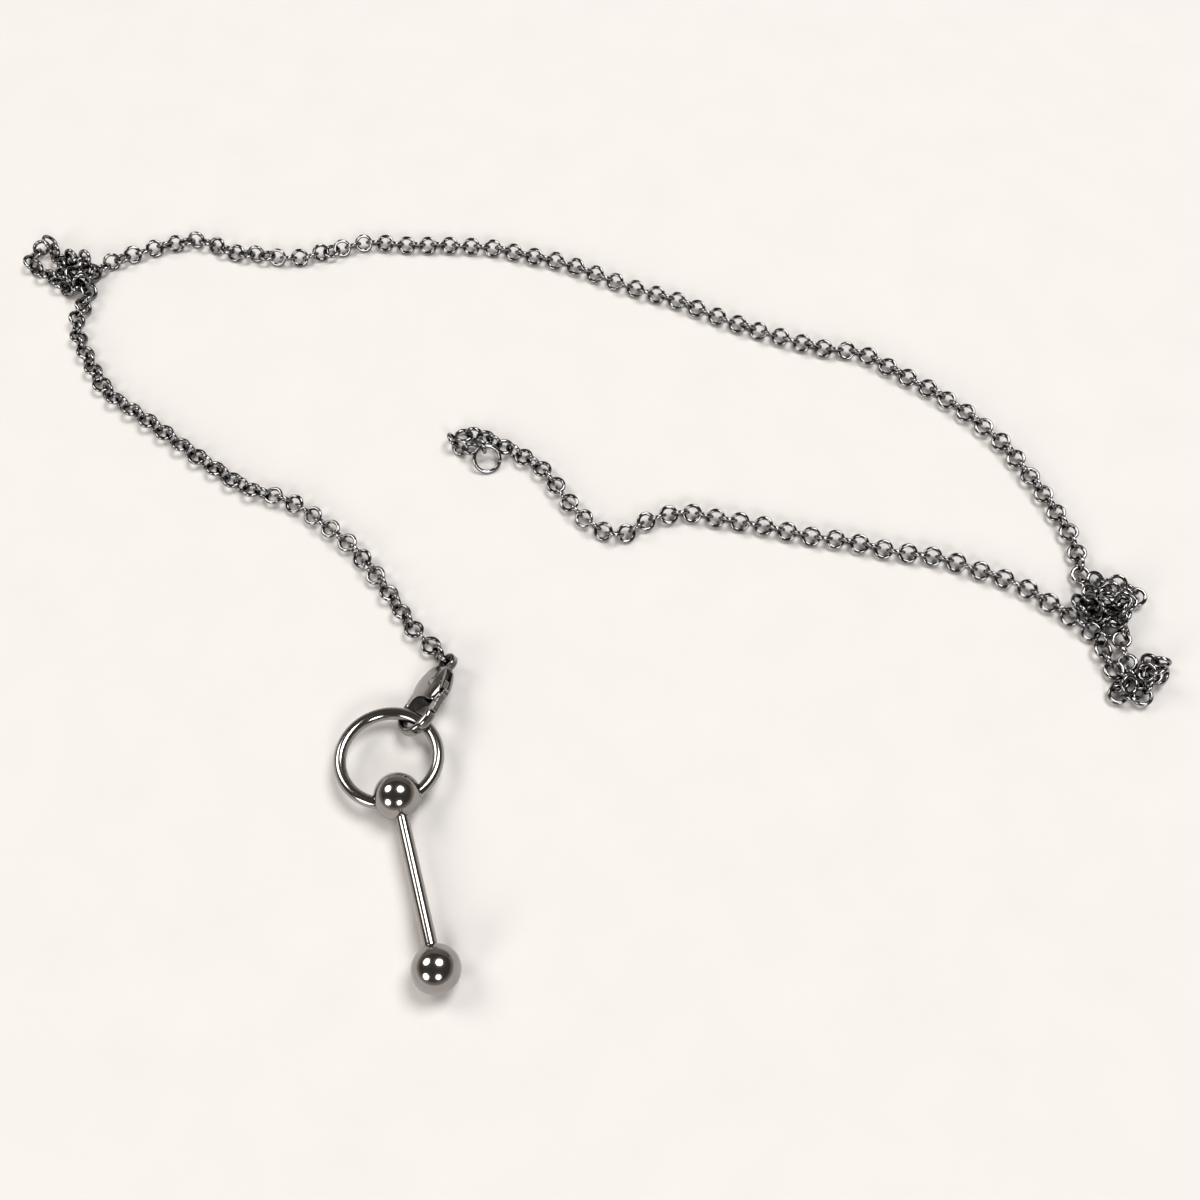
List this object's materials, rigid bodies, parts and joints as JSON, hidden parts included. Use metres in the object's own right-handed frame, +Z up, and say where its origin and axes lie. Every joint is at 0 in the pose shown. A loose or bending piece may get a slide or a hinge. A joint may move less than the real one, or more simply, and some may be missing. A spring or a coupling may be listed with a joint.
{
  "type": "tongue barbell with a captive ring and a clip-on leash chain",
  "caption": "Steel tongue barbell whose upper ball carries a swinging ring, with a lobster clasp on the ring and a long fine leash chain that ends in a small ring, lying on a flat surface.",
  "frame": {"origin": "middle of the whole lying piece in plan, on the surface that it rests on", "axes": "+X along the leash's long run, +Y away from the barbell's end ball, +Z up from the surface"},
  "size_m": [0.1626, 0.1166, 0.006],
  "materials": {
    "polished_steel": "polished dark steel",
    "clasp_steel": "polished cast steel",
    "chain_steel": "tumbled dark steel links"
  },
  "bodies": {
    "root": {"swing_ring": "polished_steel", "clasp_body": "clasp_steel", "clasp_rivet": "clasp_steel", "leash_chain": "chain_steel", "end_ring": "chain_steel"},
    "barbell": {"bar": "polished_steel", "ring_ball": "polished_steel"},
    "unscrewing_ball": {"end_ball": "polished_steel"},
    "lever": {"clasp_lever": "clasp_steel"}
  },
  "joints": [
    {"name": "barbell_swing", "type": "hinge", "parent": "root", "child": "barbell", "pos_m": [-0.01921, -0.03395, 0.003], "axis": [-0.9636, -0.2672, 0], "range_deg": [0, 174]},
    {"name": "ball_unscrew", "type": "slide", "parent": "barbell", "child": "unscrewing_ball", "axis": [0.2672, -0.9636, 0], "range_m": [0, 0.0015]},
    {"name": "lever_turn", "type": "hinge", "parent": "root", "child": "lever", "pos_m": [-0.01487, -0.01916, 0.00312], "axis": [0.6014, -0.2933, -0.7431], "range_deg": [0, 15], "stiffness_Nm_per_rad": 0.004, "springref_deg": -17.19}
  ]
}
